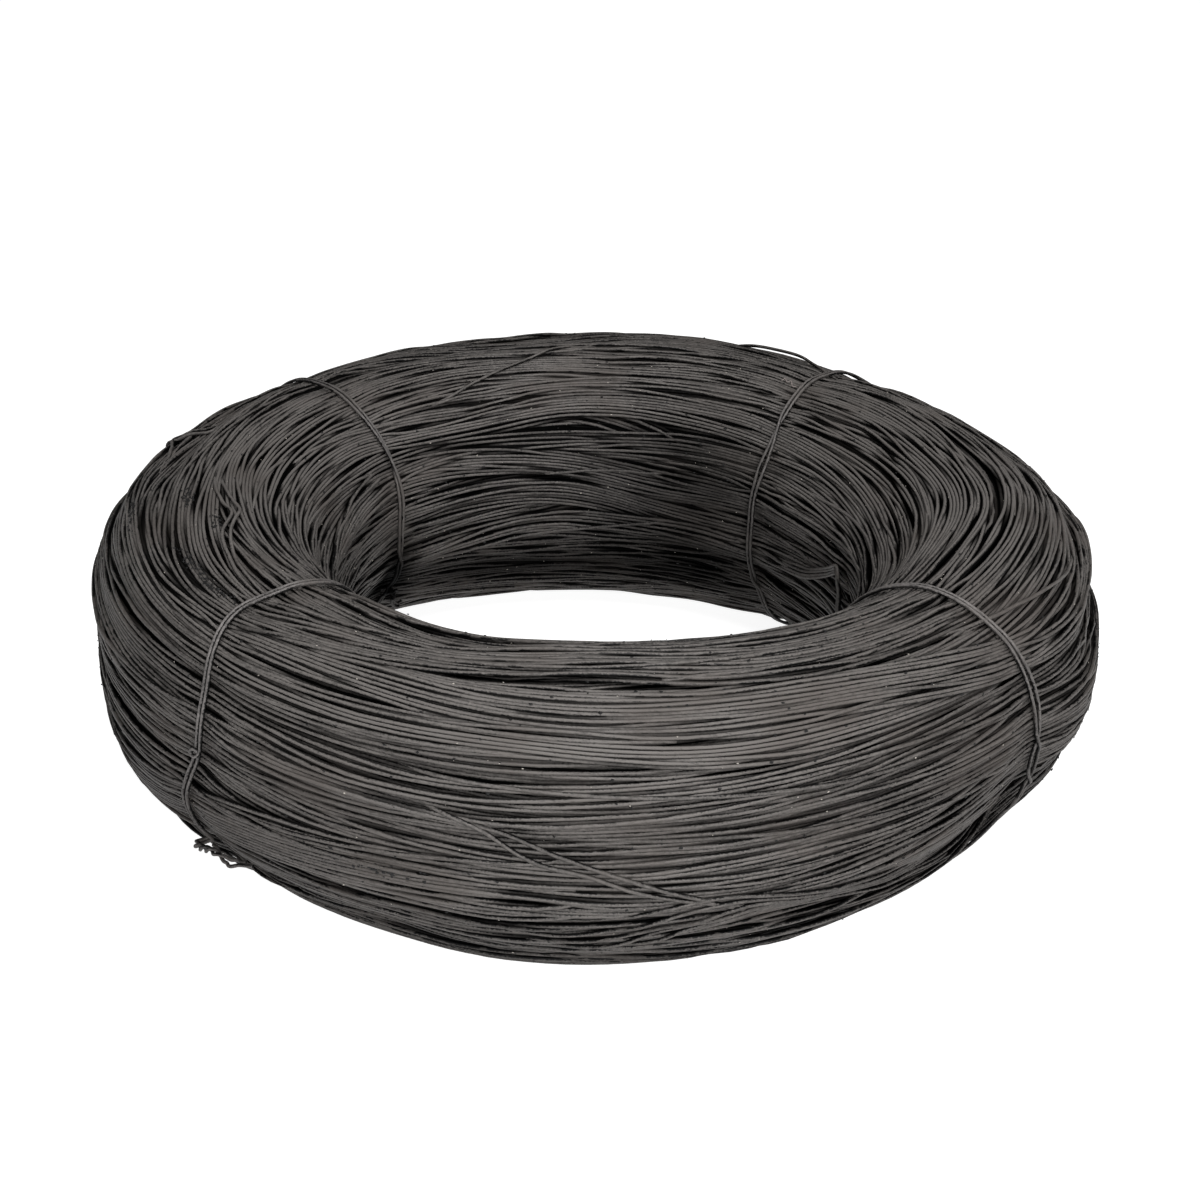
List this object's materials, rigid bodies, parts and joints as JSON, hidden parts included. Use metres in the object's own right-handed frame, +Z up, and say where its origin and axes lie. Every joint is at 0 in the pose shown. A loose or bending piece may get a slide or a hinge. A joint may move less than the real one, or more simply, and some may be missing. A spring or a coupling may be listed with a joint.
{
  "type": "coil of annealed wire",
  "caption": "Round coil of black annealed steel tying wire, lying flat, with an open bore and doubled wire ties round its section.",
  "frame": {"origin": "on the floor under the coil's axis, in the plane of the pressed-flat foot", "axes": "+Z up along the coil's axis; -Y is the front, between the two front ties"},
  "size_m": [0.4004, 0.4005, 0.12],
  "materials": {
    "annealed_wire": "black mill scale, matt to satin",
    "tie_wire": "black mill scale, satin, rubbed on the bends"
  },
  "bodies": {
    "root": {"wire_coil": "annealed_wire", "tie_front_left": "tie_wire", "tie_front_right": "tie_wire", "tie_back_left": "tie_wire", "tie_back_right": "tie_wire"}
  },
  "joints": []
}
